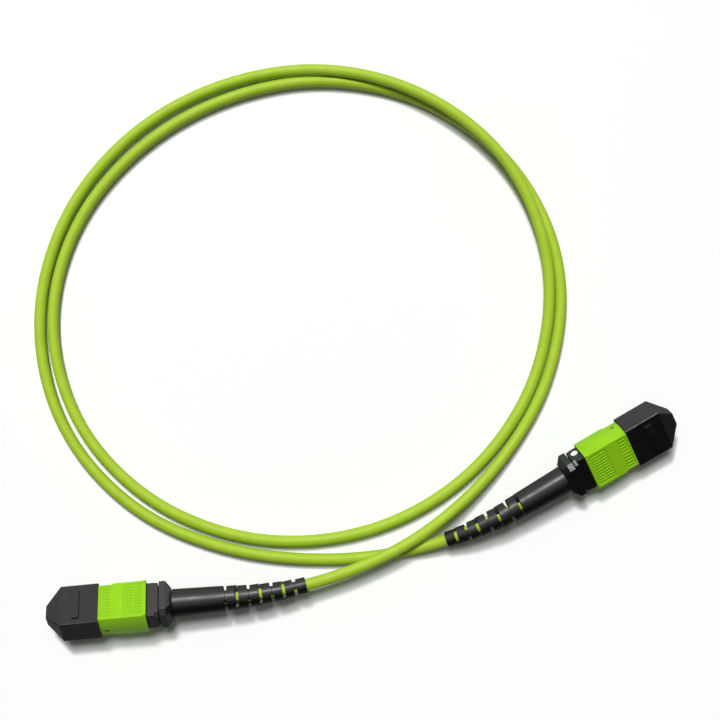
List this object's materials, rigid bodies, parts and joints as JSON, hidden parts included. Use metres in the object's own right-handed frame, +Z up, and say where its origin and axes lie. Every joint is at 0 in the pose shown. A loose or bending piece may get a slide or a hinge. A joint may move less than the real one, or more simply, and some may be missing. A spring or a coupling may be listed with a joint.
{
  "type": "mpo fibre connector",
  "caption": "MPO push-on fibre connectors with lime pull sleeves, black dust caps and slotted boots on the two ends of a coiled lime round patch cable",
  "frame": {"origin": "Middle of the near connector's length, under its axis, on the surface it lies on; the cable and the far connector are left out of it", "axes": "X along the near connector from its nose (-X) to its boot (+X), Y across the surface towards the coil, Z up"},
  "size_m": [0.1749, 0.1542, 0.0133],
  "materials": {
    "cap_black": "satin moulded",
    "sleeve_lime": "satin moulded",
    "housing_black": "satin moulded",
    "boot_black": "satin",
    "mark_white": "matt ink",
    "ferrule_dark": "polished face",
    "ribbon_clear": "coated fibre",
    "keeper_metal": "stamped",
    "spring_steel": "drawn wire",
    "yarn_yellow": "aramid",
    "crimp_metal": "crimped",
    "jacket_lime": "smooth extruded"
  },
  "bodies": {
    "cord": {"cable_jacket": "jacket_lime", "near_inner_housing": "housing_black", "near_polarity_dot": "mark_white", "near_ferrule_spring": "spring_steel", "near_sleeve_spring_left": "spring_steel", "near_sleeve_spring_right": "spring_steel", "near_rear_body": "housing_black", "near_strength_yarn": "yarn_yellow", "near_crimp_ring": "crimp_metal", "near_boot": "boot_black", "far_inner_housing": "housing_black", "far_polarity_dot": "mark_white", "far_ferrule_spring": "spring_steel", "far_sleeve_spring_left": "spring_steel", "far_sleeve_spring_right": "spring_steel", "far_rear_body": "housing_black", "far_strength_yarn": "yarn_yellow", "far_crimp_ring": "crimp_metal", "far_boot": "boot_black"},
    "near_cap": {"near_dust_cap": "cap_black"},
    "near_sleeve": {"near_pull_sleeve": "sleeve_lime"},
    "near_mt": {"near_ferrule": "ferrule_dark", "near_ferrule_boot": "boot_black", "near_pin_keeper": "keeper_metal", "near_fibre_ribbon": "ribbon_clear"},
    "far_cap": {"far_dust_cap": "cap_black"},
    "far_sleeve": {"far_pull_sleeve": "sleeve_lime"},
    "far_mt": {"far_ferrule": "ferrule_dark", "far_ferrule_boot": "boot_black", "far_pin_keeper": "keeper_metal", "far_fibre_ribbon": "ribbon_clear"}
  },
  "joints": [
    {"name": "near_cap_pull", "type": "slide", "parent": "cord", "child": "near_cap", "axis": [-1, 0, 0], "range_m": [0, 0.025]},
    {"name": "near_sleeve_slide", "type": "slide", "parent": "cord", "child": "near_sleeve", "axis": [1, 0, 0], "range_m": [0, 0.002], "stiffness_N_per_m": 1000, "springref_m": -0.0015, "deforming": ["near_sleeve_spring_left", "near_sleeve_spring_right"]},
    {"name": "near_ferrule_float", "type": "slide", "parent": "cord", "child": "near_mt", "axis": [1, 0, 0], "range_m": [0, 0.0006], "stiffness_N_per_m": 5000, "springref_m": -0.0017, "deforming": ["near_ferrule_spring"]},
    {"name": "far_cap_pull", "type": "slide", "parent": "cord", "child": "far_cap", "axis": [0.9085, 0.4179, 0], "range_m": [0, 0.025]},
    {"name": "far_sleeve_slide", "type": "slide", "parent": "cord", "child": "far_sleeve", "axis": [-0.9085, -0.4179, 0], "range_m": [0, 0.002], "stiffness_N_per_m": 1000, "springref_m": -0.0015, "deforming": ["far_sleeve_spring_left", "far_sleeve_spring_right"]},
    {"name": "far_ferrule_float", "type": "slide", "parent": "cord", "child": "far_mt", "axis": [-0.9085, -0.4179, 0], "range_m": [0, 0.0006], "stiffness_N_per_m": 5000, "springref_m": -0.0017, "deforming": ["far_ferrule_spring"]}
  ]
}
